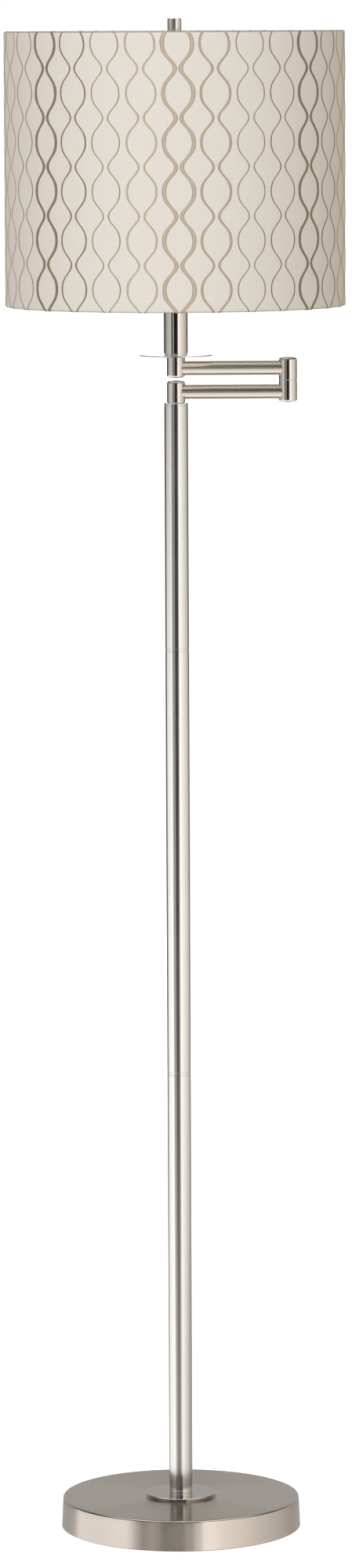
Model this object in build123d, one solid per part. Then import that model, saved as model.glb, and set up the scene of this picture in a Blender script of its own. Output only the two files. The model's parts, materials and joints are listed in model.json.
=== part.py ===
"""Swing-arm floor lamp: a drum shade on a folding two-link arm, a three-tube pole and a weighted base.

Millimetres, +Z up. The origin is on the floor, on the pole's axis. At rest the arm is folded: the lower
link runs out along +X to the elbow and the upper link comes back over it, so the shade stands over the
base. Each piece is written to parts/NODE.step.
"""

import os
from math import cos, radians, sin, sqrt

from build123d import *

# ---------------------------------------------------------------- driving dimensions
SHADE_TOP = 1589.0
SHADE_HEIGHT = 286.0
SHADE_DIA = 355.6
FINIAL_TOP = 1602.0
POLE_TOP = 1201.0
POLE_DIA = 25.0
LONG_TUBE = 448.0
BASE_DIA = 255.0
BASE_TOP_DIA = 252.0
BASE_TOP = 32.5
ARM_REACH = 117.5  # pivot axis to pivot axis
HUB_DIA = 19.0
ARM_DIA = 15.0
DISC_DIA = 76.0
RISER_DIA = 25.0

# ---------------------------------------------------------------- shared sections and fits
RUNNING = 0.05  # radial clearance of a turning or sliding fit
SEAT = 0.02  # radial clearance where two fixed pieces are screwed or pressed together
FACE_GAP = 0.05  # axial clearance between faces that turn on each other
POST_R, POST_BORE_R = 4.85, 3.5  # hollow threaded post used at every pivot and under the socket
LEAD_R = 2.2
LEAD_BEND_R = 7.0
TUBE_WALL = 1.0
HUB_WALL = 1.3
RING_HEIGHT = 3.6
CAP_HEIGHT = 3.2
GROOVE = 0.35

# ---------------------------------------------------------------- levels worked out from the above
DISC_SPACER_TOP = BASE_TOP + 2.0
BASE_DISC_TOP = DISC_SPACER_TOP + 1.5
LOWER_TUBE_Z = BASE_DISC_TOP + RING_HEIGHT
LOWER_RING_Z = LOWER_TUBE_Z + LONG_TUBE
MIDDLE_TUBE_Z = LOWER_RING_Z + RING_HEIGHT
UPPER_RING_Z = MIDDLE_TUBE_Z + LONG_TUBE
UPPER_TUBE_Z = UPPER_RING_Z + RING_HEIGHT
POLE_CAP_Z = POLE_TOP - CAP_HEIGHT

HUB_R = HUB_DIA / 2
HUB_BORE_R = HUB_R - HUB_WALL
WASHER_T = 0.5
LOWER_HUB_Z = POLE_TOP + WASHER_T + 2 * FACE_GAP
ELBOW_BOTTOM = POLE_TOP + 0.4
SEAM_Z = ELBOW_BOTTOM + 23.3
SEAM_T = 0.4
CROWN = 3.0  # height of the crowned end caps
CROWN_SPHERE = 50.0  # radius of the crown
CROWN_EDGE = 2.3  # radius of its rounded edge
CAP_PLUG = 3.0
LOWER_AXIS_Z = SEAM_Z - 12.2
UPPER_AXIS_Z = SEAM_Z + SEAM_T + 12.2
LOWER_HUB_TOP = LOWER_HUB_Z + 20.0
UPPER_ELBOW_Z = SEAM_Z + SEAM_T
UPPER_ELBOW_TOP = UPPER_ELBOW_Z + 20.7
UPPER_HUB_TOP = POLE_TOP + 49.4
UPPER_HUB_Z = UPPER_HUB_TOP - 20.2

RISER_DISC_TOP = UPPER_HUB_TOP + 1.2
RISER_TOP = RISER_DISC_TOP + 94.0
RISER_LID_TOP = RISER_TOP + 2.0
SADDLE_TOP = RISER_LID_TOP + 1.5
SOCKET_R = 16.5
SOCKET_CAP_TOP = SADDLE_TOP + 18.0
SOCKET_TOP = SADDLE_TOP + 57.0
SOCKET_BODY_R = SOCKET_R - 2.2
KNOB_Z = SADDLE_TOP + 22.5
KNOB_R, KNOB_REACH, KNOB_FLUTES = 5.2, 40.0, 10
KNOB_SHAFT_R = 2.0
BULB_FOOT = SADDLE_TOP + 34.0
CONTACT_T = 2.5  # height of the sprung contact under the bulb's foot
BULB_LENGTH = 130.0
PRONG_X = 22.0
PRONG_Z = SADDLE_TOP + 9.0
HARP_FOOT = PRONG_Z + 6.0
HARP_WIRE_R = 1.6
HARP_HALF_WIDTH = 60.0
HARP_TOP = SHADE_TOP - 20.0
SLEEVE_LENGTH, SLEEVE_R = 12.0, 3.4
STUD_SHOULDER = SHADE_TOP - 15.5
STUD_R = 3.1
SPIDER_T = 1.5

SHADE_R = SHADE_DIA / 2
SHADE_BOTTOM = SHADE_TOP - SHADE_HEIGHT
FABRIC_T = 0.7
LINER_T = 0.5
HEM = 11.0
RING_WIRE_R = 1.4
HEM_INNER_R = SHADE_R - 2 * FABRIC_T - LINER_T - 2 * RING_WIRE_R - 0.4
RING_R = HEM_INNER_R + FABRIC_T + RING_WIRE_R + 0.1
SPIDER_SPOKES = 3
SPIDER_TURN = 30.0  # degrees from +X to the first spoke
FINIAL_DIA = 14.5


# ---------------------------------------------------------------- small shape helpers
def rod(radius, z0, z1, x=0.0, y=0.0):
    """Upright round bar."""
    return Pos(x, y, z0) * Cylinder(radius, z1 - z0, align=(Align.CENTER, Align.CENTER, Align.MIN))


def tube(outer, inner, z0, z1, x=0.0, y=0.0):
    """Upright tube, given by its two radii."""
    return rod(outer, z0, z1, x, y) - rod(inner, z0 - 1, z1 + 1, x, y)


def turned(*points, x=0.0):
    """Solid of revolution about an upright axis at x, from (radius, z) points joined by straight lines."""
    outline = make_face(Polyline(*points, close=True))
    return Pos(x, 0, 0) * revolve(Plane.XZ * outline, Axis.Z)


def bar_x(radius, x0, x1, z):
    """Round bar along X."""
    bar = Cylinder(radius, x1 - x0, align=(Align.CENTER, Align.CENTER, Align.MIN))
    return Pos(x0, 0, z) * Rot(0, 90, 0) * bar


def bar_y(radius, y0, y1, x, z):
    """Round bar along Y."""
    bar = Cylinder(radius, y1 - y0, align=(Align.CENTER, Align.CENTER, Align.MIN))
    return Pos(x, y0, z) * Rot(-90, 0, 0) * bar


def hexagon(flats, bore, z0, z1, x=0.0):
    """Hexagon nut, by its width across flats."""
    body = extrude(RegularPolygon(flats / 2, 6, major_radius=False), z1 - z0)
    return Pos(x, 0, z0) * body - rod(bore, z0 - 1, z1 + 1, x)


def thin_disc(z0, z1):
    """Polished trim disc with broken edges, bored to pass a threaded post."""
    hole, r, bevel = POST_R + 0.1, DISC_DIA / 2, 0.3
    return turned((hole, z0), (r - bevel, z0), (r, z0 + bevel), (r, z1 - bevel), (r - bevel, z1),
                  (hole, z1))


def sweep_round(path, radius):
    """Round wire along a path."""
    section = Plane(origin=path @ 0, z_dir=path % 0) * Circle(radius)
    return sweep(section, path=path)


def crowned_cap(base_z, direction, x=0.0):
    """End cap of a hub: a crowned disc and a plug for the bore. direction is 1 facing up, -1 facing down."""
    edge_r = HUB_R - CROWN_EDGE

    def crown(r):
        return CROWN - CROWN_SPHERE + sqrt(CROWN_SPHERE**2 - r**2)

    corner = CROWN_EDGE * (1 - sqrt(0.5))
    plug_r = HUB_BORE_R - SEAT
    side_top = (HUB_R, crown(edge_r) - CROWN_EDGE)
    top_start = (edge_r, crown(edge_r))
    sides = Polyline((0, CROWN), (0, -CAP_PLUG), (plug_r, -CAP_PLUG), (plug_r, 0), (HUB_R, 0), side_top)
    rounding = ThreePointArc(side_top, (HUB_R - corner, crown(edge_r) - corner), top_start)
    top = ThreePointArc(top_start, (edge_r / 2, crown(edge_r / 2)), (0, CROWN))
    cap = revolve(Plane.XZ * make_face([*sides.edges(), rounding, top]), Axis.Z)
    if direction < 0:
        cap = Rot(180, 0, 0) * cap
    return Pos(x, 0, base_z) * cap


# ---------------------------------------------------------------- weighted base
WEIGHT_R = 118.0
WEIGHT_Z, WEIGHT_TOP = 3.0, 20.0
SHELL_T = 1.2
SHELL_FOOT = 0.8
LEAD_FLOOR_Z = 10.5
NUT_RECESS_R, NUT_RECESS_TOP = 17.0, 22.0
BASE_NUT_T, NUT_FLANGE_T = 3.0, 1.2
NIPPLE_FOOT = NUT_RECESS_TOP - NUT_FLANGE_T - BASE_NUT_T - 0.4
NIPPLE_TOP = BASE_DISC_TOP + 16.0
BUSH_R, BUSH_BORE_R, BUSH_FLANGE_R = 6.0, 3.6, 7.8
BUSH_DEPTH = 7.0
LEAN = (BASE_DIA - BASE_TOP_DIA) / 2 / (BASE_TOP - SHELL_FOOT)  # of the wall, inwards per unit of height
BUSH_WALL_Y = BASE_DIA / 2 - LEAN * (LEAD_FLOOR_Z - SHELL_FOOT)


def base_outline():
    """Outer form of the base: a slightly tapered disc."""
    return turned((0, SHELL_FOOT), (BASE_DIA / 2, SHELL_FOOT), (BASE_TOP_DIA / 2, BASE_TOP), (0, BASE_TOP))


def base_shell():
    """Spun steel cover: flat top, small edge radius, tapered wall, hole for the cord bush at the back."""
    outer = base_outline()
    rim = outer.edges().filter_by(GeomType.CIRCLE).sort_by(Axis.Z)[-1]
    ceiling = BASE_TOP - SHELL_T
    inner_foot, inner_top = BASE_DIA / 2 - SHELL_T, BASE_TOP_DIA / 2 - SHELL_T
    inner = turned((0, 0), (inner_foot, 0), (inner_top, ceiling), (0, ceiling))
    bush_hole = bar_y(BUSH_R + SEAT, BUSH_WALL_Y - 10, BUSH_WALL_Y + 5, 0, LEAD_FLOOR_Z)
    return fillet(rim, 2.0) - inner - rod(POST_R + SEAT, 0, BASE_TOP + 1) - bush_hole


def base_weight():
    """Cast-iron disc: a raised boss under the cover, a recess for the nut and a channel for the lead."""
    boss_top = BASE_TOP - SHELL_T
    disc = turned((0, WEIGHT_Z), (WEIGHT_R, WEIGHT_Z), (WEIGHT_R - 1.5, WEIGHT_TOP), (40, WEIGHT_TOP),
                  (30, boss_top), (0, boss_top))
    channel_top, width = LEAD_FLOOR_Z + LEAD_R + 0.8, 2 * LEAD_R + 3
    channel = Pos(0, WEIGHT_R / 2, channel_top / 2) * Box(width, WEIGHT_R + 10, channel_top)
    return disc - rod(NUT_RECESS_R, 0, NUT_RECESS_TOP) - rod(POST_R + 0.3, 0, boss_top + 1) - channel


def base_nut():
    """Hexagon nut with a round flange, which clamps the weight and the cover to the pole."""
    flange_z = NUT_RECESS_TOP - NUT_FLANGE_T
    flange = tube(11.0, POST_R + SEAT, flange_z, NUT_RECESS_TOP)
    return flange + hexagon(16.0, POST_R + SEAT, flange_z - BASE_NUT_T, flange_z)


def cord_bush():
    """Flanged plastic bush in the back of the cover, for the supply cord."""
    y, z = BUSH_WALL_Y, LEAD_FLOOR_Z
    flange = bar_y(BUSH_FLANGE_R, y - 1, y + 1.6, 0, z) - base_outline()
    return flange + bar_y(BUSH_R, y - BUSH_DEPTH, y + 0.2, 0, z) - bar_y(BUSH_BORE_R, y - 20, y + 20, 0, z)


def build_base():
    return {
        "foot_pad": tube(BASE_DIA / 2 - SHELL_T - 0.6, NUT_RECESS_R + 3, 0, WEIGHT_Z),
        "base_shell": base_shell(),
        "base_weight": base_weight(),
        "base_nut": base_nut(),
        "base_nipple": tube(POST_R, POST_BORE_R, NIPPLE_FOOT, NIPPLE_TOP),
        "disc_spacer": tube(DISC_DIA / 2 - 6, POST_R + 0.1, BASE_TOP, DISC_SPACER_TOP),
        "base_disc": thin_disc(DISC_SPACER_TOP, BASE_DISC_TOP),
        "cord_bush": cord_bush(),
    }


# ---------------------------------------------------------------- pole
SPIGOT = 22.0
SPIGOT_R = POLE_DIA / 2 - TUBE_WALL - SEAT


def pole_tube(z0, z1):
    return tube(POLE_DIA / 2, POLE_DIA / 2 - TUBE_WALL, z0, z1)


def ring_band(z0, z1):
    """Visible ring between two tubes, with a fine groove at each end."""
    r = POLE_DIA / 2
    return turned((0, z0), (r - GROOVE, z0), (r - GROOVE, z0 + GROOVE), (r, z0 + 2 * GROOVE),
                  (r, z1 - 2 * GROOVE), (r - GROOVE, z1 - GROOVE), (r - GROOVE, z1), (0, z1))


def tube_coupler(z0):
    """Screwed coupler: the visible ring and a spigot into each tube, bored for the lead."""
    z1 = z0 + RING_HEIGHT
    bored = rod(SPIGOT_R, z0 - SPIGOT, z1 + SPIGOT) - rod(SPIGOT_R - 3, z0 - SPIGOT - 1, z1 + SPIGOT + 1)
    band = ring_band(z0, z1) - rod(SPIGOT_R - 3, z0 - 1, z1 + 1)
    return band + bored


def foot_coupler():
    """Bottom ring of the pole, screwed on to the base's nipple, with a spigot into the lower tube."""
    z0, z1 = BASE_DISC_TOP, LOWER_TUBE_Z
    body = ring_band(z0, z1) + rod(SPIGOT_R, z1, z1 + SPIGOT)
    return body - rod(POST_R + SEAT, z0 - 1, NIPPLE_TOP + SEAT) - rod(POST_BORE_R + 1, z0, z1 + SPIGOT + 1)


def pole_cap():
    """Top ring of the pole, with a plug into the upper tube that holds the pivot post."""
    r = POLE_DIA / 2
    top = turned((0, POLE_CAP_Z), (r - GROOVE, POLE_CAP_Z), (r - GROOVE, POLE_CAP_Z + GROOVE),
                 (r, POLE_CAP_Z + 2 * GROOVE), (r, POLE_TOP - 0.5), (r - 0.5, POLE_TOP), (0, POLE_TOP))
    plug = rod(SPIGOT_R, POLE_CAP_Z - SPIGOT, POLE_CAP_Z)
    return top + plug - rod(POST_R + SEAT, POLE_CAP_Z - SPIGOT - 1, POLE_TOP + 1)


def build_pole():
    return {
        "pole_foot_coupler": foot_coupler(),
        "pole_tube_lower": pole_tube(LOWER_TUBE_Z, LOWER_RING_Z),
        "pole_coupler_lower": tube_coupler(LOWER_RING_Z),
        "pole_tube_middle": pole_tube(MIDDLE_TUBE_Z, UPPER_RING_Z),
        "pole_coupler_upper": tube_coupler(UPPER_RING_Z),
        "pole_tube_upper": pole_tube(UPPER_TUBE_Z, POLE_CAP_Z),
        "pole_cap": pole_cap(),
    }


# ---------------------------------------------------------------- pivots
WEB = 3.2  # thickness of the bearing web inside a hub
SPRING_T = 0.6
NUT_T = 3.0
PIVOT_NUT_FLATS = 13.0


def build_pole_pivot():
    """Hollow post screwed into the pole's cap, with the washers and nut that hold the lower hub down."""
    web_top = LOWER_HUB_Z + WEB
    spring_top = web_top + FACE_GAP + SPRING_T
    return {
        "pole_pivot_post": tube(POST_R, POST_BORE_R, POLE_CAP_Z - 14, spring_top + NUT_T + 0.4),
        "pole_pivot_washer": tube(HUB_R - 0.8, POST_R + SEAT, POLE_TOP, LOWER_HUB_Z - FACE_GAP),
        "pole_pivot_spring_washer": tube(7.2, POST_R + SEAT, web_top + FACE_GAP, spring_top),
        "pole_pivot_nut": hexagon(PIVOT_NUT_FLATS, POST_R + SEAT, spring_top, spring_top + NUT_T),
    }


def build_elbow_pivot():
    """Hollow stud fixed in the lower half of the elbow; the upper half turns on it."""
    x = ARM_REACH
    foot = SEAM_Z - WEB - NUT_T
    spring_z = UPPER_ELBOW_Z + WEB + FACE_GAP
    head = spring_z + SPRING_T
    nuts = Compound(children=[
        hexagon(PIVOT_NUT_FLATS, POST_R + SEAT, foot, foot + NUT_T, x),
        hexagon(PIVOT_NUT_FLATS, POST_R + SEAT, head, head + NUT_T, x),
    ])
    return {
        "elbow_stud": tube(POST_R, POST_BORE_R, foot - 0.4, head + NUT_T + 0.4, x),
        "elbow_washer": tube(HUB_R - 0.6, POST_R + SEAT, SEAM_Z, UPPER_ELBOW_Z - FACE_GAP, x),
        "elbow_spring_washer": tube(7.2, POST_R + SEAT, spring_z, head, x),
        "elbow_nuts": nuts,
    }


# ---------------------------------------------------------------- arm links
WIRE_HOLE_R = 4.2


def hub(z0, z1, web_z0, web_z1, bore_r, axis_z, side, x=0.0):
    """Hollow hub with one bearing web and a hole towards the arm tube. side is 1 for +X, -1 for -X."""
    shell = tube(HUB_R, HUB_BORE_R, z0, z1, x) + tube(HUB_R - 0.5, bore_r, web_z0, web_z1, x)
    reach = HUB_R + 1
    start, end = (x, x + reach) if side > 0 else (x - reach, x)
    return shell - bar_x(WIRE_HOLE_R, start, end, axis_z)


def arm_tube(axis_z):
    """Arm tube between the two hubs, coped at both ends to the hubs' round walls."""
    bore_r = ARM_DIA / 2 - TUBE_WALL
    long_bar = bar_x(ARM_DIA / 2, 0, ARM_REACH, axis_z) - bar_x(bore_r, -1, ARM_REACH + 1, axis_z)
    for x in (0.0, ARM_REACH):
        long_bar = long_bar - rod(HUB_R + SEAT, axis_z - 20, axis_z + 20, x)
    return long_bar


def build_lower_arm():
    elbow_z = ELBOW_BOTTOM + CROWN
    return {
        "lower_hub": hub(LOWER_HUB_Z, LOWER_HUB_TOP, LOWER_HUB_Z, LOWER_HUB_Z + WEB, POST_R + RUNNING,
                         LOWER_AXIS_Z, 1),
        "lower_hub_cap": crowned_cap(LOWER_HUB_TOP, 1),
        "lower_arm_tube": arm_tube(LOWER_AXIS_Z),
        "elbow_lower_half": hub(elbow_z, SEAM_Z, SEAM_Z - WEB, SEAM_Z, POST_R + SEAT, LOWER_AXIS_Z, -1,
                                ARM_REACH),
        "elbow_lower_cap": crowned_cap(elbow_z, -1, ARM_REACH),
    }


def build_upper_arm():
    return {
        "elbow_upper_half": hub(UPPER_ELBOW_Z, UPPER_ELBOW_TOP, UPPER_ELBOW_Z, UPPER_ELBOW_Z + WEB,
                                POST_R + RUNNING, UPPER_AXIS_Z, -1, ARM_REACH),
        "elbow_upper_cap": crowned_cap(UPPER_ELBOW_TOP, 1, ARM_REACH),
        "upper_arm_tube": arm_tube(UPPER_AXIS_Z),
        "upper_hub": hub(UPPER_HUB_Z, UPPER_HUB_TOP, UPPER_HUB_TOP - 4, UPPER_HUB_TOP, POST_R + SEAT,
                         UPPER_AXIS_Z, 1),
        "upper_hub_cap": crowned_cap(UPPER_HUB_Z, -1),
    }


# ---------------------------------------------------------------- riser, saddle and socket
def harp_saddle():
    """Pressed strip under the socket: two upturned ends, and the prongs that the harp stands on."""
    strip_t, width, ear_height = SADDLE_TOP - RISER_LID_TOP, 8.0, PRONG_Z - RISER_LID_TOP
    strip = Pos(0, 0, RISER_LID_TOP + strip_t / 2) * Box(2 * PRONG_X + strip_t, width, strip_t)
    saddle = strip + tube(10.5, POST_R + SEAT, RISER_LID_TOP, SADDLE_TOP)
    for side in (-1, 1):
        ear = Pos(side * PRONG_X, 0, RISER_LID_TOP + ear_height / 2) * Box(strip_t, width, ear_height)
        saddle = saddle + ear + rod(HARP_WIRE_R, PRONG_Z - 1, HARP_FOOT, side * PRONG_X)
    return saddle - rod(POST_R + SEAT, RISER_LID_TOP - 1, SADDLE_TOP + 1)


def socket_cap():
    """Lower cup of the socket's metal shell."""
    z, r, t = SADDLE_TOP, SOCKET_R, 0.7
    return turned((POST_R + SEAT, z), (10.0, z), (15.6, z + 6.5), (r, z + 9.5), (r, SOCKET_CAP_TOP),
                  (r - t, SOCKET_CAP_TOP), (r - t, z + 9.7), (15.0, z + 7.2), (9.7, z + t),
                  (POST_R + SEAT, z + t))


def socket_shell():
    """Upper metal shell of the socket, with a bead near its mouth and a hole for the switch shaft."""
    r, t = SOCKET_R - 0.75, 0.6
    z0, z1 = SOCKET_CAP_TOP - 4, SOCKET_TOP
    wall = turned((r - t, z0), (r, z0), (r, z1 - 7), (r + 0.7, z1 - 6), (r + 0.7, z1 - 4.6), (r, z1 - 3.6),
                  (r, z1 - 0.6), (r + 0.5, z1), (r - t, z1), (r - t, z0))
    return wall - bar_y(3.0, -SOCKET_R - 5, 0, 0, KNOB_Z)


def socket_liner():
    """Card sleeve that insulates the shell."""
    r = SOCKET_R - 1.45
    return tube(r, r - 0.6, SOCKET_CAP_TOP - 3, SOCKET_TOP - 2) - bar_y(3.0, -SOCKET_R - 5, 0, 0, KNOB_Z)


def socket_body():
    """Moulded switch body with the screw terminals' flats and a bore for the switch shaft."""
    r = SOCKET_BODY_R
    z0, z1 = SOCKET_CAP_TOP - 3, BULB_FOOT - CONTACT_T
    body = rod(r, z0, z1)
    for side in (-1, 1):
        body = body - Pos(side * r, 0, z0 + 3) * Box(5, 12, 8)
    shaft_bore = bar_y(KNOB_SHAFT_R + RUNNING, -r - 1, -r + 7, 0, KNOB_Z)
    return body - shaft_bore - rod(LEAD_R + 0.2, z0 - 1, z0 + 3)


def screw_shell():
    """Threaded metal shell that takes the bulb's cap, shown with round corrugations."""
    z0, z1 = BULB_FOOT - CONTACT_T, SOCKET_TOP - 3
    outer, inner = 14.2, 13.35
    count = 5
    pitch = (z1 - z0 - 2) / count
    shell = tube(outer - 0.3, inner, z0, z1)
    foot_r = outer - 0.4
    for i in range(count):
        centre = z0 + 1 + pitch * (i + 0.5)
        shell = shell + turned((foot_r, centre - pitch / 3), (outer, centre), (foot_r, centre + pitch / 3))
    return shell


def build_switch():
    """Turn knob of the switch, moulded on its shaft and pointing to the front under the shade."""
    knob = bar_y(KNOB_R, -KNOB_REACH, -KNOB_REACH + 17, 0, KNOB_Z)
    knob = chamfer(knob.edges().filter_by(GeomType.CIRCLE), 0.8)
    for i in range(KNOB_FLUTES):
        turn = radians(360 * i / KNOB_FLUTES)
        x, z = (KNOB_R + 0.2) * cos(turn), KNOB_Z + (KNOB_R + 0.2) * sin(turn)
        knob = knob - bar_y(0.7, -KNOB_REACH - 1, -KNOB_REACH + 15, x, z)
    return {"switch_knob": knob + bar_y(KNOB_SHAFT_R, -KNOB_REACH + 10, -SOCKET_BODY_R + 6, 0, KNOB_Z)}


def build_riser_and_socket():
    r, wall = RISER_DIA / 2, 0.9
    plug_r, bore_r = r - wall - SEAT, POST_R + 0.1
    lid = turned((bore_r, RISER_TOP - 3), (plug_r, RISER_TOP - 3), (plug_r, RISER_TOP), (r, RISER_TOP),
                 (r, RISER_LID_TOP - 0.5), (r - 0.5, RISER_LID_TOP), (bore_r, RISER_LID_TOP))
    disc_plug = tube(plug_r, bore_r, UPPER_HUB_TOP, RISER_DISC_TOP + 2)
    contact_step = BULB_FOOT - 1.4
    contact = rod(4.0, BULB_FOOT - CONTACT_T, contact_step) + rod(2.0, contact_step, BULB_FOOT)
    return {
        "riser_disc": thin_disc(UPPER_HUB_TOP, RISER_DISC_TOP) + disc_plug,
        "riser_tube": tube(r, r - wall, RISER_DISC_TOP, RISER_TOP),
        "riser_lid": lid,
        "riser_nipple": tube(POST_R, POST_BORE_R, UPPER_HUB_TOP - 6.5, SADDLE_TOP + 6),
        "harp_saddle": harp_saddle(),
        "socket_cap": socket_cap(),
        "socket_shell": socket_shell(),
        "socket_liner": socket_liner(),
        "socket_body": socket_body(),
        "screw_shell": screw_shell(),
        "centre_contact": contact,
    }


# ---------------------------------------------------------------- harp
def harp_line():
    """Centreline of the harp's wire, in the XZ plane, from one foot over the top to the other."""
    right = [(PRONG_X, HARP_FOOT), (PRONG_X, HARP_FOOT + 34), (HARP_HALF_WIDTH, HARP_FOOT + 66),
             (HARP_HALF_WIDTH, HARP_TOP - 44), (28, HARP_TOP)]
    radii = [26, 60, 70, 40]
    points = [(x, 0, z) for x, z in right] + [(-x, 0, z) for x, z in reversed(right)]
    return FilletPolyline(*points, radius=radii + radii[::-1])


def build_harp():
    wire = sweep_round(harp_line(), HARP_WIRE_R)
    stud = rod(6.0, HARP_TOP - 3.5, STUD_SHOULDER) + rod(STUD_R, STUD_SHOULDER, FINIAL_TOP - 8)
    pieces = {"harp": wire, "harp_stud": stud - bar_x(HARP_WIRE_R, -10, 10, HARP_TOP)}
    bore_r, z0 = HARP_WIRE_R + RUNNING, PRONG_Z + FACE_GAP
    z1 = z0 + SLEEVE_LENGTH
    for name, side in (("harp_sleeve_left", -1), ("harp_sleeve_right", 1)):
        sleeve = turned((bore_r, z0), (SLEEVE_R - 0.5, z0), (SLEEVE_R, z0 + 0.5), (SLEEVE_R, z1 - 3),
                        (SLEEVE_R - 0.9, z1), (bore_r, z1))
        pieces[name] = Pos(side * PRONG_X, 0, 0) * sleeve
    return pieces


# ---------------------------------------------------------------- bulb
def bulb_profile(offset):
    """Closed outline of the glass, moved in by offset: a straight neck, a flare and a round globe."""
    globe_r, neck_r, neck_z = 33.0 - offset, 13.6 - offset, BULB_FOOT + 27.0 + offset
    globe_z = BULB_FOOT + BULB_LENGTH - 33.0
    join_angle = radians(-35)
    join = (globe_r * cos(join_angle), globe_z + globe_r * sin(join_angle))
    flare = Spline((neck_r, neck_z + 6), join, tangents=((0, 1), (-sin(join_angle), cos(join_angle))))
    globe = ThreePointArc(join, (globe_r * cos(radians(25)), globe_z + globe_r * sin(radians(25))),
                          (0, globe_z + globe_r))
    sides = Polyline((0, globe_z + globe_r), (0, neck_z), (neck_r, neck_z), (neck_r, neck_z + 6))
    return make_face([*sides.edges(), flare, globe])


def build_bulb():
    glass = revolve(Plane.XZ * bulb_profile(0), Axis.Z) - revolve(Plane.XZ * bulb_profile(0.9), Axis.Z)
    cap_top = BULB_FOOT + 27.0
    cap = turned((0, BULB_FOOT), (4.0, BULB_FOOT), (5.0, BULB_FOOT + 1), (10.5, BULB_FOOT + 4),
                 (13.0, BULB_FOOT + 5), (13.0, cap_top - 2), (13.6, cap_top), (0, cap_top))
    return {"bulb_glass": glass, "bulb_cap": cap}


# ---------------------------------------------------------------- shade and finial
def spoke_path():
    """One spoke: out from the washer under the rim, then up to the top ring."""
    level, end = STUD_SHOULDER + FACE_GAP + SPIDER_T / 2, SHADE_TOP - FABRIC_T - RING_WIRE_R
    return FilletPolyline((8.0, 0, level), (RING_R - 14, 0, level), (RING_R, 0, end), radius=9)


def ring(z):
    return Pos(0, 0, z) * Torus(RING_R, RING_WIRE_R)


def fabric_profile():
    """Section of the cover: the outer wall, turned in over both rings and down inside them as a hem."""
    outer, inner_r = SHADE_R, HEM_INNER_R
    t, top, foot = FABRIC_T, SHADE_TOP, SHADE_BOTTOM
    edge = 1.0
    return make_face(Polyline(
        (outer, foot + edge), (outer, top - edge), (outer - edge, top), (inner_r + edge, top),
        (inner_r, top - edge), (inner_r, top - HEM), (inner_r + t, top - HEM), (inner_r + t, top - t),
        (outer - t, top - t), (outer - t, foot + t), (inner_r + t, foot + t), (inner_r + t, foot + HEM),
        (inner_r, foot + HEM), (inner_r, foot + edge), (inner_r + edge, foot), (outer - edge, foot),
        close=True))


def build_shade():
    in_fold = FABRIC_T + RING_WIRE_R + 0.1  # from the edge of the shade to a ring's centre
    top_z, foot_z = SHADE_TOP - in_fold, SHADE_BOTTOM + in_fold
    path = spoke_path()
    washer_z = STUD_SHOULDER + FACE_GAP
    spider = rod(12.5, washer_z, washer_z + SPIDER_T)
    cuts = []
    for i in range(SPIDER_SPOKES):
        turn = Rot(0, 0, SPIDER_TURN + 360 / SPIDER_SPOKES * i)
        spider = spider + turn * sweep_round(path, 1.4)
        cuts.append(turn * sweep_round(path, 1.7))
    spider = spider - rod(STUD_R + RUNNING, washer_z - 3, washer_z + 5) - ring(top_z)
    spider = spider - rod(12.5, washer_z - 3, washer_z) - rod(12.5, washer_z + SPIDER_T, washer_z + 5)
    fabric = revolve(Plane.XZ * fabric_profile(), Axis.Z)
    for cut in cuts:
        fabric = fabric - cut
    lining = FABRIC_T + SEAT
    liner_r = SHADE_R - lining
    return {
        "shade_spider": spider,
        "shade_top_ring": ring(top_z),
        "shade_bottom_ring": ring(foot_z),
        "shade_liner": tube(liner_r, liner_r - LINER_T, SHADE_BOTTOM + lining, SHADE_TOP - lining),
        "shade_fabric": fabric,
    }


def build_finial():
    z0, r = STUD_SHOULDER + 2 * FACE_GAP + SPIDER_T, FINIAL_DIA / 2
    knob = turned((0, z0), (r - 0.4, z0), (r, z0 + 0.4), (r, FINIAL_TOP - 0.6), (r - 0.6, FINIAL_TOP),
                  (0, FINIAL_TOP))
    return {"finial": knob - rod(STUD_R + RUNNING, z0 - 1, FINIAL_TOP - 7)}


# ---------------------------------------------------------------- internal lead
def lead(*points):
    return sweep_round(FilletPolyline(*points, radius=LEAD_BEND_R), LEAD_R)


def build_leads():
    """The lamp's own wiring, from the cord bush to the socket: one length per body, cut at the pivots."""
    x = ARM_REACH
    split_pole = LOWER_HUB_Z + 2.0
    split_elbow = SEAM_Z + SEAM_T / 2
    inner_end = BUSH_WALL_Y - BUSH_DEPTH - 0.2
    return {
        "lead_in_stand": lead((0, inner_end, LEAD_FLOOR_Z), (0, 0, LEAD_FLOOR_Z),
                              (0, 0, split_pole - FACE_GAP)),
        "lead_in_lower_arm": lead((0, 0, split_pole + FACE_GAP), (0, 0, LOWER_AXIS_Z),
                                  (x, 0, LOWER_AXIS_Z), (x, 0, split_elbow - FACE_GAP)),
        "lead_in_upper_arm": lead((x, 0, split_elbow + FACE_GAP), (x, 0, UPPER_AXIS_Z),
                                  (0, 0, UPPER_AXIS_Z), (0, 0, SOCKET_CAP_TOP - 0.5)),
    }


def main():
    os.makedirs("parts", exist_ok=True)
    pieces = {}
    for group in (build_base, build_pole, build_pole_pivot, build_lower_arm, build_elbow_pivot,
                  build_upper_arm, build_riser_and_socket, build_switch, build_harp, build_bulb,
                  build_shade, build_finial, build_leads):
        pieces.update(group())
    for name, shape in pieces.items():
        export_step(shape, f"parts/{name}.step")
    print(len(pieces), "nodes")


if __name__ == "__main__":
    main()
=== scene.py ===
"""Looks for a swing-arm floor lamp: nickel plate, an embroidered drum shade and soft studio light."""

import json
import math

import bpy
import numpy as np
from mathutils import Matrix, Vector


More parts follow.
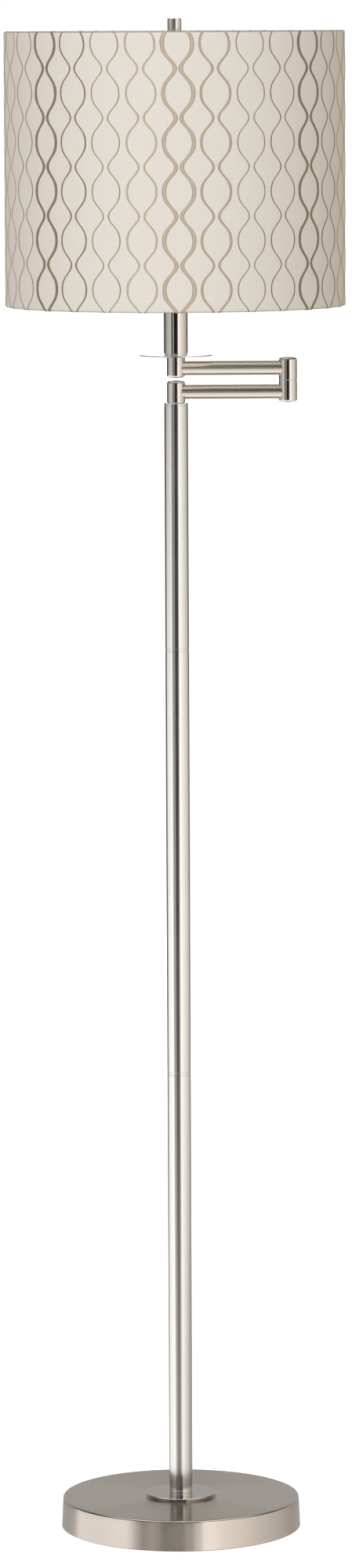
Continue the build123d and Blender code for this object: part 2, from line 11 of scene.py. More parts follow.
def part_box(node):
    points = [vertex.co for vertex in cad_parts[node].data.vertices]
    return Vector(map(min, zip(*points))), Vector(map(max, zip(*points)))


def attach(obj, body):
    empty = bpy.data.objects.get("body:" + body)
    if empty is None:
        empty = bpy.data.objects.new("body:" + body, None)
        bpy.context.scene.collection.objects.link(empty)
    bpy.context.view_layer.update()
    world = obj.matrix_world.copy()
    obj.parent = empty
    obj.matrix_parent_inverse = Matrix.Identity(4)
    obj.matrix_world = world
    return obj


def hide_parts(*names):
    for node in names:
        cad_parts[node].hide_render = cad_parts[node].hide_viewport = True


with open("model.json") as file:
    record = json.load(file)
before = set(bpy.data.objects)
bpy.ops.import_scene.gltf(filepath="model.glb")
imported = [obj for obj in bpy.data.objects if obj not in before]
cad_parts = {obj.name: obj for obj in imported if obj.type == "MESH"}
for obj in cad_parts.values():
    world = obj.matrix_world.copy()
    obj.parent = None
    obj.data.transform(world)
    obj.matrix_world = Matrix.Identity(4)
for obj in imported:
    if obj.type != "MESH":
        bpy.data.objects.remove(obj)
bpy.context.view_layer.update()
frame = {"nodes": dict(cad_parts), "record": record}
NODES = frame["nodes"]
MM = 0.001


# ---------------------------------------------------------------- camera
EYE_DISTANCE = 6.9
EYE_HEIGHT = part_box("shade_fabric")[1].z + 0.010
EYE_ASIDE = -0.0019
PITCH_DOWN = math.radians(6.62)
ROLL = math.radians(-0.26)
FOCAL_MM, SENSOR_MM = 150.9, 36.0


def make_camera():
    data = bpy.data.cameras.new("camera")
    data.lens, data.sensor_width = FOCAL_MM, SENSOR_MM
    data.clip_start, data.clip_end = 0.1, 60
    camera = bpy.data.objects.new("camera", data)
    bpy.context.scene.collection.objects.link(camera)
    turn = Matrix.Rotation(math.pi / 2 - PITCH_DOWN, 4, "X") @ Matrix.Rotation(ROLL, 4, "Z")
    camera.matrix_world = Matrix.Translation((EYE_ASIDE, -EYE_DISTANCE, EYE_HEIGHT)) @ turn
    bpy.context.scene.camera = camera


# ---------------------------------------------------------------- node-tree helpers
def feed(tree, socket, value):
    """Connects a socket, or sets a number, vector or colour."""
    if isinstance(value, bpy.types.NodeSocket):
        tree.links.new(value, socket)
    else:
        socket.default_value = value


def add(tree, kind, inputs=(), **settings):
    """New node with its settings, and its inputs given in order or by name."""
    made = tree.nodes.new("ShaderNode" + kind)
    for key, value in settings.items():
        setattr(made, key, value)
    pairs = inputs.items() if isinstance(inputs, dict) else enumerate(inputs)
    for key, value in pairs:
        if value is not None:
            feed(tree, made.inputs[key], value)
    return made


def maths(tree, operation, *values):
    return add(tree, "Math", values, operation=operation).outputs[0]


def times(tree, first, second):
    return maths(tree, "MULTIPLY", first, second)


def plus(tree, first, second):
    return maths(tree, "ADD", first, second)


def vector(tree, x, y, z):
    return add(tree, "CombineXYZ", (x, y, z)).outputs[0]


def noise(tree, where, scale, detail, roughness):
    settings = {"Vector": where, "Scale": scale, "Detail": detail, "Roughness": roughness}
    return add(tree, "TexNoise", settings).outputs["Fac"]


def remap(tree, value, low, high, to_low, to_high):
    return add(tree, "MapRange", (value, low, high, to_low, to_high)).outputs[0]


def blend_colours(tree, factor, first, second, mode="MIX"):
    made = add(tree, "Mix", data_type="RGBA", blend_type=mode)
    feed(tree, made.inputs[0], factor)
    feed(tree, made.inputs[6], (*first, 1) if isinstance(first, tuple) else first)
    feed(tree, made.inputs[7], (*second, 1) if isinstance(second, tuple) else second)
    return made.outputs[2]


def position(tree):
    """The point on the piece at rest, in metres, as three sockets."""
    where = add(tree, "TexCoord").outputs["Object"]
    return add(tree, "SeparateXYZ", (where,)).outputs


def grain(tree, scale, detail, roughness):
    """Noise through a piece's whole solid, so it has no seams."""
    return noise(tree, vector(tree, *position(tree)), scale, detail, roughness)


def round_axis(tree, axis):
    """Distance from a piece's axis, angle round it and place along it."""
    x, y, z = position(tree)
    if axis == "X":
        low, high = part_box("lower_arm_tube")
        first, second, along = y, maths(tree, "SUBTRACT", z, (low.z + high.z) / 2), x
    else:
        first, second, along = x, times(tree, y, -1.0), z
    squares = plus(tree, maths(tree, "POWER", first, 2.0), maths(tree, "POWER", second, 2.0))
    return maths(tree, "SQRT", squares), maths(tree, "ARCTAN2", first, second), along


def bump(tree, shader, height, strength, depth):
    made = add(tree, "Bump", {"Height": height, "Strength": strength, "Distance": depth})
    feed(tree, shader.inputs["Normal"], made.outputs[0])


def material(name, base, roughness, metallic=0.0, **sockets):
    """New Principled material. Further sockets are given by name with _ for a space."""
    made = bpy.data.materials.new(name)
    made.use_nodes = True
    tree = made.node_tree
    shader = tree.nodes["Principled BSDF"]
    shader.inputs["Base Color"].default_value = (*base, 1)
    shader.inputs["Roughness"].default_value = roughness
    shader.inputs["Metallic"].default_value = metallic
    for key, value in sockets.items():
        shader.inputs[key.replace("_", " ")].default_value = value
    return made, tree, shader


# ---------------------------------------------------------------- metals
NICKEL = (0.765, 0.712, 0.66)
SATIN_NICKEL = (0.705, 0.632, 0.568)
COOL_NICKEL = (0.77, 0.745, 0.725)


def nickel(name, axis, roughness, anisotropy, groove_depth, tone=NICKEL, rim=None):
    """Nickel plate turned or brushed round an axis: fine grooves, and highlights drawn out across them."""
    made, tree, shader = material(name, tone, roughness, 1.0, Anisotropic=anisotropy,
                                  Anisotropic_Rotation=0.25)
    radius, angle, along = round_axis(tree, axis)
    across = times(tree, plus(tree, along, radius), 3600.0)
    grooves = noise(tree, vector(tree, times(tree, angle, 1.6), across, 0.0), 1.0, 3.0, 0.65)
    stains = grain(tree, 26.0, 4.0, 0.55)
    clouded = remap(tree, stains, 0.3, 0.7, roughness * 0.92, roughness * 1.1)
    gloss = plus(tree, clouded, remap(tree, grooves, 0.3, 0.7, -0.012, 0.012))
    if rim:
        reach, top, width = rim  # rubbed bright along the rounded edge
        outer = remap(tree, radius, reach - 1.1 * width, reach - 0.9 * width, 0.0, 1.0)
        upper = remap(tree, along, top - 1.1 * width, top - 0.9 * width, 0.0, 1.0)
        near = times(tree, outer, upper)
        away = times(tree, gloss, maths(tree, "SUBTRACT", 1.0, near))
        gloss = plus(tree, away, times(tree, near, 0.07))
    feed(tree, shader.inputs["Roughness"], gloss)
    dull, bright = (tuple(min(1.0, c * share) for c in tone) for share in (0.97, 1.02))
    feed(tree, shader.inputs["Base Color"], blend_colours(tree, stains, dull, bright))
    bump(tree, shader, grooves, 0.3, groove_depth)
    tangent = add(tree, "Tangent", direction_type="RADIAL", axis=axis)
    feed(tree, shader.inputs["Tangent"], tangent.outputs[0])
    return made


def plated_steel():
    made, tree, shader = material("plated_steel", (0.60, 0.59, 0.57), 0.32, 1.0)
    mottle = grain(tree, 320.0, 4.0, 0.6)
    feed(tree, shader.inputs["Roughness"], remap(tree, mottle, 0.3, 0.7, 0.26, 0.4))
    bump(tree, shader, mottle, 0.15, 0.0001)
    return made


def plain_metal(name, colour, roughness):
    made, tree, shader = material(name, colour, roughness, 1.0)
    spots = grain(tree, 140.0, 5.0, 0.6)
    feed(tree, shader.inputs["Roughness"], remap(tree, spots, 0.3, 0.7, roughness * 0.8, roughness * 1.3))
    bump(tree, shader, spots, 0.08, 0.0001)
    return made


def cast_iron():
    made, tree, shader = material("cast_iron", (0.055, 0.055, 0.058), 0.75)
    pits = grain(tree, 700.0, 6.0, 0.65)
    tone = blend_colours(tree, pits, (0.035, 0.035, 0.037), (0.085, 0.08, 0.078))
    feed(tree, shader.inputs["Base Color"], tone)
    bump(tree, shader, pits, 0.7, 0.0006)
    return made


# ---------------------------------------------------------------- soft and moulded materials
def felt():
    made, tree, shader = material("felt", (0.02, 0.02, 0.021), 0.95, Sheen_Weight=0.6, Sheen_Roughness=0.5)
    fibres = grain(tree, 1600.0, 6.0, 0.8)
    tone = blend_colours(tree, fibres, (0.012, 0.012, 0.013), (0.05, 0.05, 0.052))
    feed(tree, shader.inputs["Base Color"], tone)
    bump(tree, shader, fibres, 0.8, 0.0006)
    return made


def moulded(name, colour, roughness, grain_scale=900.0):
    made, tree, shader = material(name, colour, roughness)
    texture = grain(tree, grain_scale, 3.0, 0.5)
    lighter = tuple(min(1.0, c * 1.12 + 0.003) for c in colour)
    feed(tree, shader.inputs["Base Color"], blend_colours(tree, texture, colour, lighter))
    feed(tree, shader.inputs["Roughness"], remap(tree, texture, 0.3, 0.7, roughness * 0.9, roughness * 1.1))
    bump(tree, shader, texture, 0.12, 0.0001)
    return made


def frosted_glass():
    made, tree, shader = material("frosted_glass", (0.9, 0.88, 0.84), 0.34, Coat_Weight=0.35,
                                  Coat_Roughness=0.12)
    tone = blend_colours(tree, grain(tree, 60.0, 3.0, 0.5), (0.87, 0.85, 0.81), (0.92, 0.90, 0.86))
    feed(tree, shader.inputs["Base Color"], tone)
    return made


WEAVE_PITCH = 0.62 * MM


def weave_height(tree, across, up):
    """Plain weave: the two thread directions take turns on top."""
    turns = 2 * math.pi / WEAVE_PITCH
    warp = maths(tree, "SINE", times(tree, across, turns))
    weft = maths(tree, "SINE", times(tree, up, turns))
    crossed = times(tree, warp, weft)
    ribs = maths(tree, "MAXIMUM", maths(tree, "ABSOLUTE", warp), maths(tree, "ABSOLUTE", weft))
    return plus(tree, times(tree, crossed, 0.35), ribs)


def slubs(tree, across, up):
    """Thicker and thinner yarns, as long faint streaks both ways."""
    streaks = []
    for per_metre_across, per_metre_up, layer in ((60.0, 2600.0, 0.0), (2600.0, 45.0, 7.0)):
        where = vector(tree, times(tree, across, per_metre_across), times(tree, up, per_metre_up), layer)
        streaks.append(noise(tree, where, 1.0, 3.0, 0.6))
    level, upright = streaks
    return plus(tree, times(tree, level, 0.6), times(tree, upright, 0.4))


def linen():
    """Off-white slub weave, with its threads laid round the drum and up it, and painted shade along the top
    edge.
    """
    made, tree, shader = material("shade_linen", (0.77, 0.71, 0.62), 0.88, Sheen_Weight=0.12,
                                  Sheen_Roughness=0.5)
    _, angle, up = round_axis(tree, "Z")
    across = times(tree, angle, SHADE_R)
    yarn = slubs(tree, across, up)
    fineness = remap(tree, yarn, 0.35, 0.65, 0.0, 1.0)
    tone = blend_colours(tree, fineness, (0.745, 0.683, 0.60), (0.795, 0.737, 0.655))
    # painted shade: the cloth darkens over its top 1.1 to 1.6 mm, standing in for the shade on the rolled
    # top edge
    painted_rim_shade = remap(tree, up, SHADE_TOP - 1.6 * MM, SHADE_TOP - 1.1 * MM, 0.0, 1.0)
    feed(tree, shader.inputs["Base Color"], blend_colours(tree, painted_rim_shade, tone, (0.40, 0.36, 0.31)))
    height = plus(tree, times(tree, weave_height(tree, across, up), 0.5), yarn)
    bump(tree, shader, height, 0.35, 0.00022)
    return made


def thread(name, colour, painted_shade_colour):
    """Satin stitch: shiny threads side by side across the line, with painted shade along the line's edges
    and in the grooves between strands.
    """
    made, tree, shader = material(name, colour, 0.5, Sheen_Weight=0.15, Sheen_Roughness=0.4)
    stitch = add(tree, "UVMap", uv_map="stitch").outputs[0]
    across, along, _ = add(tree, "SeparateXYZ", (stitch,)).outputs
    strand = maths(tree, "SINE", times(tree, along, 2 * math.pi / STRAND_PITCH))
    ply_place = vector(tree, times(tree, across, 2.5), times(tree, along, 2300.0), 0.0)
    ply = noise(tree, ply_place, 1.0, 2.0, 0.5)
    # painted shade: darker towards the line's edges and in the grooves between strands
    edge = remap(tree, maths(tree, "ABSOLUTE", across), 0.4, 0.85, 0.0, 1.0)
    gap = remap(tree, strand, -1.0, -0.3, 0.55, 0.0)
    deep, pale = (tuple(min(1.0, c * share) for c in colour) for share in (0.84, 1.14))
    varied = blend_colours(tree, ply, deep, pale)
    # mask of the painted shade, edges and grooves together
    dark = maths(tree, "MAXIMUM", edge, gap)
    feed(tree, shader.inputs["Base Color"], blend_colours(tree, dark, varied, painted_shade_colour))
    height = plus(tree, strand, times(tree, ply, 0.8))
    bump(tree, shader, height, 0.4, 0.0001)
    return made


# ---------------------------------------------------------------- mesh helpers
def mesh_object(name, points, faces, stitch=None):
    """New smooth-shaded mesh object; stitch is each point's place across and along its line of thread."""
    data = bpy.data.meshes.new(name)
    data.from_pydata([tuple(p) for p in points], [], [tuple(f) for f in faces])
    data.validate()
    data.polygons.foreach_set("use_smooth", [True] * len(data.polygons))
    if stitch is not None:
        layer = data.uv_layers.new(name="stitch")
        corner = np.zeros(len(data.loops), np.int32)
        data.loops.foreach_get("vertex_index", corner)
        layer.data.foreach_set("uv", np.asarray(stitch, np.float32)[corner].ravel())
    made = bpy.data.objects.new(name, data)
    bpy.context.scene.collection.objects.link(made)
    return made


def arc(centre, radius, start, end, steps):
    """Points on a quarter or other turn, from one angle in degrees to another."""
    turns = np.radians(np.linspace(start, end, steps + 1))
    return [(centre[0] + radius * math.cos(t), centre[1] + radius * math.sin(t)) for t in turns]


# ---------------------------------------------------------------- the base's cover
BASE_LOW, BASE_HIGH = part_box("base_shell")
BASE_R, BASE_TOP = BASE_HIGH.x, BASE_HIGH.z
BASE_RIM_R = BASE_R - 1.5 * MM
RIM_FILLET = 2 * MM
COVER_WALL = 1.2 * MM
POST_HOLE_R = 4.87 * MM
BUSH_HOLE_R = 6.02 * MM


def lathe(name, outline, segments):
    """Closed outline of (radius, height) points turned round the lamp's axis."""
    points, faces = [], []
    per = len(outline)
    for i in range(segments):
        turn = 2 * math.pi * i / segments
        points += [(r * math.cos(turn), r * math.sin(turn), z) for r, z in outline]
        for j in range(per):
            a, b = i * per + j, i * per + (j + 1) % per
            c, d = (i + 1) % segments * per + (j + 1) % per, (i + 1) % segments * per + j
            faces.append((a, d, c, b))
    return mesh_object(name, points, faces)


def cut(piece, cutter):
    """Takes the cutter's shape out of a piece and drops the cutter."""
    step = piece.modifiers.new("cut", "BOOLEAN")
    step.operation, step.solver, step.object = "DIFFERENCE", "EXACT", cutter
    bpy.context.view_layer.update()
    whole = piece.evaluated_get(bpy.context.evaluated_depsgraph_get())
    carved = bpy.data.meshes.new_from_object(whole)
    piece.modifiers.clear()
    piece.data = carved
    bpy.data.objects.remove(cutter)


def keep_edges(piece, degrees):
    """Smooth shading that stops at edges sharper than an angle."""
    piece.data.polygons.foreach_set("use_smooth", [True] * len(piece.data.polygons))
    piece.data.set_sharp_from_angle(angle=math.radians(degrees))


def build_base_cover():
    """Spun cover of the base: flat top, finely rounded rim, leaning wall and a hole for the cord's bush."""
    lean = math.atan2(BASE_R - BASE_RIM_R, BASE_TOP - BASE_LOW.z)
    tuck = RIM_FILLET * math.tan(math.pi / 4 - lean / 2)  # from the corner to where the rounding starts
    centre = (BASE_RIM_R - tuck, BASE_TOP - RIM_FILLET)
    top = [(r, BASE_TOP) for r in np.linspace(POST_HOLE_R, centre[0], 12)[:-1]]
    rounding = arc(centre, RIM_FILLET, 90, math.degrees(lean), 16)
    wall = [tuple(point) for point in np.linspace(rounding[-1], (BASE_R, BASE_LOW.z), 6)[1:]]
    inner = arc(centre, RIM_FILLET - COVER_WALL, math.degrees(lean), 90, 4)
    lining = [(BASE_R - COVER_WALL, BASE_LOW.z)] + inner + [(POST_HOLE_R, BASE_TOP - COVER_WALL)]
    piece = lathe("base_cover", top + rounding + wall + lining, 288)
    low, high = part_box("cord_bush")
    middle = (low + high) / 2
    bpy.ops.mesh.primitive_cylinder_add(vertices=64, radius=BUSH_HOLE_R, depth=30 * MM, location=middle,
                                        rotation=(math.pi / 2, 0, 0))
    cut(piece, bpy.context.object)
    keep_edges(piece, 25)
    return piece


# ---------------------------------------------------------------- the shade's cover
SHADE_LOW, SHADE_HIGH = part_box("shade_fabric")
SHADE_R = (SHADE_HIGH.x - SHADE_LOW.x) / 2
SHADE_TOP, SHADE_BOTTOM = SHADE_HIGH.z, SHADE_LOW.z
CLOTH_T = 0.7 * MM
HEM_R = SHADE_R - 5.1 * MM
HEM_LENGTH = 11 * MM
EDGE_R = 1.9 * MM


def cloth_line():
    """Section of the cloth's outer face as (r, z), from the lower hem up the wall to the upper hem."""
    foot, top, e = SHADE_BOTTOM, SHADE_TOP, EDGE_R
    line = [(HEM_R, foot + HEM_LENGTH), (HEM_R, foot + HEM_LENGTH / 2)]
    line += arc((HEM_R + e, foot + e), e, 180, 270, 6)
    line += arc((SHADE_R - e, foot + e), e, 270, 360, 8)
    line += [(SHADE_R, z) for z in np.linspace(foot + e, top - e, 42)[1:-1]]
    line += arc((SHADE_R - e, top - e), e, 0, 90, 8)
    line += arc((HEM_R + e, top - e), e, 90, 180, 6)
    line += [(HEM_R, top - HEM_LENGTH / 2), (HEM_R, top - HEM_LENGTH)]
    return np.array(line)


def outward(line):
    """Unit normals of the line, away from the cloth's lining."""
    step = np.gradient(line, axis=0)
    normal = np.stack([step[:, 1], -step[:, 0]], axis=1)
    return normal / np.linalg.norm(normal, axis=1)[:, None]


SEAM_HALF = 6 * MM  # half the width of the overlap at the back
SEAM_RISE = 0.45 * MM


def around():
    """Angles from the front, positive to the right, with more of them at the seam's edges."""
    seam = SEAM_HALF / SHADE_R
    turns = list(np.linspace(-math.pi, math.pi, 361)[:-1])
    for edge in (math.pi - seam, -math.pi + seam):
        turns += [edge + d * MM / SHADE_R for d in (-0.35, 0.0, 0.35)]
    return np.array(sorted(turns))


def seam_height(turn):
    """How far the cloth's overlap stands out at an angle from the front."""
    gap = np.abs(math.pi - np.abs(turn)) * SHADE_R
    return SEAM_RISE * np.clip((SEAM_HALF + 0.2 * MM - gap) / (0.4 * MM), 0, 1)


def unevenness(turn):
    """How far the cloth strays from a true drum at an angle from the front."""
    return 0.10 * MM * np.sin(3 * turn + 0.6) + 0.05 * MM * np.sin(7 * turn)


def build_cover():
    """Cloth of the shade as a closed sheet: outer face, inner face and the two cut edges of its hems."""
    line = cloth_line()
    normal = outward(line)
    turns = around()
    loops = np.concatenate([line, (line - normal * CLOTH_T)[::-1]])
    facing = np.concatenate([normal, np.zeros_like(normal)])
    count, per = len(turns), len(loops)
    points, faces = [], []
    for i, turn in enumerate(turns):
        rise, stray = seam_height(turn), unevenness(turn)
        for (r, z), (n_r, n_z) in zip(loops, facing):
            reach = r + n_r * rise + stray
            points.append((reach * math.sin(turn), -reach * math.cos(turn), z + n_z * rise))
        for j in range(per):
            a, b = i * per + j, i * per + (j + 1) % per
            c, d = (i + 1) % count * per + (j + 1) % per, (i + 1) % count * per + j
            faces.append((a, d, c, b))
    return mesh_object("shade_cover", points, faces)


# ---------------------------------------------------------------- embroidery
CELLS = 29
PITCH = 2 * math.pi / CELLS
FIRST_CELL = math.radians(1.3)
DRUM_HEIGHT = SHADE_TOP - SHADE_BOTTOM
WAVE_PERIOD = DRUM_HEIGHT * 0.1752
FIRST_BULGE = DRUM_HEIGHT * 0.044  # below the top edge
WAVE_SWING, WAVE_FULLNESS = 6.25 * MM, 0.95 * MM
STITCH_STEP = 0.75 * MM
STRAND_PITCH = 0.75 * MM
# Line weight by cell, and thread tone by cell as painted sheen: the lighter tones stand in for the satin's
# glint, counted from the front and repeated every eight cells.
HALF_WIDTHS = (2.25, 1.38, 0.66, 0.72, 2.0, 0.98, 0.66, 1.1)
PAINTED_SHEEN_TONES = ("light", "tan", "taupe", "dark", "dark", "dark", "taupe", "light")


def wave_path(side, middle):
    """Points, angles and normals of one stitched line, from hem to hem over both edges of the shade."""
    line = cloth_line()
    normal = outward(line)
    reach = np.concatenate([[0], np.cumsum(np.linalg.norm(np.diff(line, axis=0), axis=1))])
    at = np.linspace(0, reach[-1], int(reach[-1] * 1.12 / STITCH_STEP))
    (r, z), (n_r, n_z) = ([np.interp(at, reach, table[:, k]) for k in (0, 1)] for table in (line, normal))
    shrink = 1 / np.hypot(n_r, n_z)
    top = reach[np.argmax(line[:, 1])] + EDGE_R * (1 - math.pi / 2)
    down = top - at
    phase = 2 * math.pi * (down - FIRST_BULGE) / WAVE_PERIOD
    half_gap = SHADE_R * PITCH / 4 + WAVE_SWING * np.cos(phase) + WAVE_FULLNESS * (0.5 - np.cos(2 * phase))
    skew = -2.2 * MM * np.exp(-np.clip(down, 0, None) / (40 * MM))
    turn = middle + (side * half_gap + skew) / SHADE_R
    pressed = 1 - 0.65 * np.exp(-((down + EDGE_R / 2) / (2.5 * MM)) ** 2)  # flatter over the top edge
    return r, z, turn, n_r * shrink, n_z * shrink, pressed


# Section of a satin-stitched line: place across it and height above the cloth, as shares.
SECTION = np.array(((-1.0, -0.35), (-0.86, 0.5), (-0.45, 0.92), (0.0, 1.0), (0.45, 0.92), (0.86, 0.5),
                    (1.0, -0.35)))


def embroider(name, cells):
    """All the lines of some cells as one piece of raised stitching, its threads lying across each line."""
    points, faces, stitch = [], [], []
    per = len(SECTION)
    for cell in cells:
        half = HALF_WIDTHS[cell % 8] * MM
        rise = 0.26 * MM + 0.1 * half
        for side in (-1, 1):
            r, z, turn, n_r, n_z, pressed = wave_path(side, FIRST_CELL + cell * PITCH)
            count, start = len(r), len(points)
            draws = np.random.default_rng(cell * 2 + side + 100).normal(0, 1, count)
            slow = np.convolve(draws, np.ones(9) / 9, "same")
            tooth = np.where(np.arange(count) % 2, 1.07, 0.93) + 0.14 * slow
            along = np.linspace(0, 1, count) * np.hypot(np.diff(r), np.diff(z)).sum()
            for i in range(count):
                a = turn[i] + SECTION[:, 0] * half * tooth[i] / SHADE_R
                lift = SECTION[:, 1] * rise * pressed[i] * (1.04 if i % 2 else 0.96) + seam_height(a)
                out = r[i] + n_r[i] * lift + unevenness(a)
                points += zip(out * np.sin(a), -out * np.cos(a), z[i] + n_z[i] * lift)
                stitch += [(u, along[i]) for u in SECTION[:, 0]]
            for i in range(count - 1):
                for j in range(per):
                    a, b = start + i * per + j, start + i * per + (j + 1) % per
                    faces.append((a, b, b + per, a + per))
            last = start + (count - 1) * per
            faces.append(tuple(range(start, start + per))[::-1])
            faces.append(tuple(range(last, last + per)))
    return mesh_object(name, points, faces, stitch)


def build_embroidery():
    """Stitched lines in a few pieces, split by weight and by painted sheen tone."""
    groups = {}
    for cell in range(-(CELLS // 2), CELLS // 2 + 1):
        weight = "thick" if HALF_WIDTHS[cell % 8] > 1.5 else "fine"
        groups.setdefault((weight, PAINTED_SHEEN_TONES[cell % 8]), []).append(cell)
    return {key: embroider("embroidery_" + "_".join(key), cells) for key, cells in groups.items()}


# ---------------------------------------------------------------- dressing the frame
def dress_nodes(looks):
    """Every CAD node takes the material of its slot in the record."""
    for part in frame["record"]["subparts"]:
        node = NODES[part["node"]]
        node.data.materials.clear()
        node.data.materials.append(looks.get(part["node"]) or looks[part["material_slot"]])


def dress(piece, look, body="shade"):
    piece.data.materials.append(look)
    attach(piece, body)


def make_looks():
    """Materials by the record's slots, and by node where a node needs its own."""
    polished = nickel("polished_nickel", "Z", 0.08, 0.6, 0.000001)
    tube = nickel("satin_nickel_upright", "Z", 0.11, 0.8, 0.000001, COOL_NICKEL)
    level_tube = nickel("satin_nickel_level", "X", 0.20, 1.0, 0.0000005)
    rim = (BASE_RIM_R, BASE_TOP, RIM_FILLET)
    brushed = nickel("brushed_nickel_base", "Z", 0.19, 1.0, 0.000006, SATIN_NICKEL, rim)
    return {
        "felt": felt(),
        "brushed_nickel": tube,
        "base_cover": brushed,
        "riser_tube": nickel("polished_nickel_riser", "Z", 0.07, 0.5, 0.000001),
        "lower_arm_tube": level_tube,
        "upper_arm_tube": level_tube,
        "polished_nickel": polished,
        "cast_iron": cast_iron(),
        "plated_steel": plated_steel(),
        "nylon": moulded("nylon", (0.62, 0.61, 0.56), 0.5),
        "socket_metal": plain_metal("socket_metal", (0.70, 0.69, 0.66), 0.28),
        "socket_card": moulded("socket_card", (0.22, 0.15, 0.09), 0.85, 500.0),
        "phenolic": moulded("phenolic", (0.012, 0.012, 0.013), 0.38),
        "brass": plain_metal("brass", (0.72, 0.52, 0.22), 0.3),
        "bulb_metal": plain_metal("bulb_metal", (0.72, 0.72, 0.72), 0.35),
        "frosted_glass": frosted_glass(),
        "shade_liner": moulded("shade_liner", (0.74, 0.71, 0.65), 0.5, 200.0),
        "shade_linen": linen(),
        "lead_insulation": moulded("lead_insulation", (0.5, 0.49, 0.45), 0.4),
    }


# ---------------------------------------------------------------- studio
# Light the metal mirrors, as (degrees, brightness). Round the horizon, from the camera and positive to the
# right: at eye level, a little below it and further down.
LEVEL = ((-180, 0.0), (-128, 0.02), (-116, 0.26), (-104, 0.42), (-80, 0.53), (-57, 0.66), (-49, 0.58),
         (-40, 0.10), (-34, 0.05), (-29, 0.24), (-21, 0.50), (-17, 0.01), (14, 0.01), (18, 0.12),
         (22, 1.30), (30, 1.30), (40, 1.10), (52, 1.00), (70, 0.84), (90, 0.70), (114, 0.50),
         (130, 0.32), (180, 0.20))
SLOPING = ((-180, 0.3), (-127, 0.3), (-117, 1.14), (-90, 1.26), (-70, 1.38), (-54, 1.46), (-46, 0.60),
           (-37, 0.30), (-28, 0.60), (-22, 0.06), (-14, 0.045), (8, 0.045), (11, 0.15), (14, 1.12),
           (23, 1.38), (42, 1.26), (72, 1.06), (93, 0.90), (106, 0.82), (120, 0.66), (138, 0.45),
           (155, 0.1), (180, 0.0))
LOWER = ((-180, 0.90), (-138, 0.90), (-124, 1.15), (-116, 1.20), (-90, 1.18), (-62, 1.28), (-48, 1.16),
         (-40, 0.68), (-30, 0.42), (-20, 0.34), (-8, 0.36), (1, 0.46), (5, 0.94), (18, 1.10),
         (32, 1.18), (42, 1.00), (56, 0.88), (74, 0.72), (88, 0.56), (100, 0.46), (116, 0.35),
         (140, 0.27), (180, 0.24))
# Up and down, from the horizon: what shades the horizon's pattern, what fills it in, and the light behind
# the lamp.
SHADING = ((-90, 1.0), (12, 1.0), (20, 0.1), (41, 0.05), (46, 0.9), (90, 0.9))
FILLING = ((-90, 0.5), (-80, 0.7), (-64, 1.15), (-50, 1.1), (-37, 0.9), (-26, 0.72), (-20, 0.62),
           (-15, 0.50), (-10, 0.0), (-1, 0.0), (2, 0.35), (9, 0.3), (14, 0.0), (44, 0.0), (49, 0.7),
           (55, 1.25), (70, 1.25), (80, 0.6), (90, 0.3))
BEHIND = ((-90, 0.3), (-80, 0.12), (-60, 0.12), (-45, 0.6), (-30, 0.9), (-16, 0.9), (-12, 0.45),
          (-8, 0.15), (-4, 0.08), (0, 0.1), (2, 1.2), (5, 1.2), (8, 0.36), (13, 0.42), (22, 0.42),
          (40, 0.3), (57, 0.08), (72, 0.2), (90, 0.4))


def ramp(tree, factor, stops):
    """Colour ramp of greys, from (place from 0 to 1, brightness) stops."""
    made = add(tree, "ValToRGB", (factor,))
    elements = made.color_ramp.elements
    while len(elements) < len(stops):
        elements.new(0.5)
    for element, (place, value) in zip(elements, stops):
        element.position = place
        element.color = (value, value, value, 1)
    return made.outputs[0]


def make_world():
    """White for the camera, an even dome for soft light, and strips and cards for metal to mirror."""
    world = bpy.data.worlds.new("studio")
    bpy.context.scene.world = world
    world.use_nodes = True
    world.cycles.sampling_method = "NONE"
    tree = world.node_tree
    tree.nodes.clear()
    x, y, z = add(tree, "SeparateXYZ", (add(tree, "TexCoord").outputs["Generated"],)).outputs
    bearing = maths(tree, "ARCTAN2", x, times(tree, y, -1.0))
    climb = maths(tree, "ARCSINE", z)
    around = remap(tree, bearing, -math.pi, math.pi, 0.0, 1.0)
    height = remap(tree, climb, -math.pi / 2, math.pi / 2, 0.0, 1.0)
    level, sloping, lower = (ramp(tree, around, [((a + 180) / 360, v) for a, v in table])
                             for table in (LEVEL, SLOPING, LOWER))
    shading, filling, behind = (ramp(tree, height, [((a + 90) / 180, v) for a, v in table])
                                for table in (SHADING, FILLING, BEHIND))
    slopes = remap(tree, climb, math.radians(-6), math.radians(-3), 1.0, 0.0)
    lowers = remap(tree, climb, math.radians(-12), math.radians(-9.5), 1.0, 0.0)
    pattern = blend_colours(tree, lowers, blend_colours(tree, slopes, level, sloping), lower)
    shaded = blend_colours(tree, 1.0, pattern, shading, "MULTIPLY")
    front = blend_colours(tree, 1.0, shaded, filling, "LIGHTEN")
    rear = remap(tree, maths(tree, "ABSOLUTE", bearing), math.radians(115), math.radians(150), 0.0, 1.0)
    rightward = remap(tree, x, -1.0, 1.0, 0.0, 1.0)
    tint = blend_colours(tree, rightward, (1.0, 0.995, 0.985), (1.0, 0.97, 0.925))
    mirrored = blend_colours(tree, 1.0, blend_colours(tree, rear, front, behind), tint, "MULTIPLY")
    ray = add(tree, "LightPath").outputs
    upward = remap(tree, z, -0.25, 0.1, 0.0, 1.0)
    soft = blend_colours(tree, upward, (0.26, 0.25, 0.235), (0.785, 0.73, 0.65))
    dome = blend_colours(tree, ray["Is Glossy Ray"], soft, mirrored)
    seen = blend_colours(tree, ray["Is Camera Ray"], dome, (1.0, 1.0, 1.0))
    background = add(tree, "Background", (seen, 1.0))
    tree.links.new(background.outputs[0], add(tree, "OutputWorld").inputs[0])


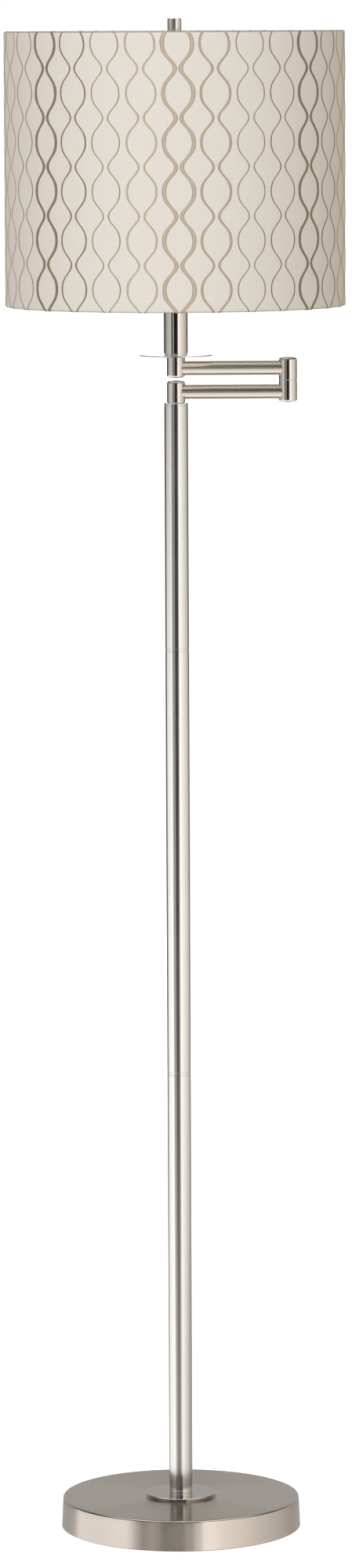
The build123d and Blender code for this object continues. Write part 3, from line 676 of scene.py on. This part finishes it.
def make_light(name, where, aim, size, power, colour):
    data = bpy.data.lights.new(name, "AREA")
    data.shape, data.size, data.energy, data.color = "DISK", size, power, colour
    light = bpy.data.objects.new(name, data)
    bpy.context.scene.collection.objects.link(light)
    turn = (Vector(aim) - Vector(where)).to_track_quat("-Z", "Y").to_matrix().to_4x4()
    light.matrix_world = Matrix.Translation(where) @ turn
    light.visible_glossy = False
    light.visible_camera = False


def make_floor():
    """Pale floor that runs out of sight. It shows a faint contact shadow and throws no light of its own."""
    side = 25.0
    corners = [(-side, -side, 0), (side, -side, 0), (side, side, 0), (-side, side, 0)]
    floor = mesh_object("floor", corners, [(0, 1, 2, 3)])
    made, _, _ = material("floor_white", (0.9, 0.9, 0.9), 1.0, Emission_Color=(1, 1, 1, 1),
                          Emission_Strength=0.5)
    floor.data.materials.append(made)
    floor.visible_glossy = floor.visible_diffuse = floor.visible_shadow = False


def make_studio():
    make_world()
    make_floor()
    make_light("key", (-0.8, -4.6, 2.1), (0, 0, 1.2), 2.4, 118, (0.915, 1.0, 1.13))
    make_light("fill_behind", (1.2, 4.6, 2.1), (0, 0, 1.2), 2.4, 55, (0.95, 1.0, 1.08))
    view = bpy.context.scene.view_settings
    view.view_transform, view.look = "Standard", "None"


# ---------------------------------------------------------------- the scene
make_camera()
looks = make_looks()
dress_nodes(looks)
base_cover = build_base_cover()
dress(base_cover, looks["base_cover"], "stand")
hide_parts("base_shell")
cover = build_cover()
dress(cover, looks["shade_linen"])
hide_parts("shade_fabric")
# one thread in four tones: the lighter ones are painted sheen, the darker ones the same thread without it
threads = {
    "light": thread("thread_light", (0.61, 0.50, 0.365), (0.34, 0.26, 0.175)),
    "tan": thread("thread_tan", (0.54, 0.445, 0.32), (0.27, 0.21, 0.14)),
    "taupe": thread("thread_taupe", (0.34, 0.28, 0.20), (0.22, 0.175, 0.12)),
    "dark": thread("thread_dark", (0.29, 0.215, 0.135), (0.145, 0.105, 0.065)),
}
stitching = build_embroidery()
for (_, tone), piece in stitching.items():
    dress(piece, threads[tone])
make_studio()
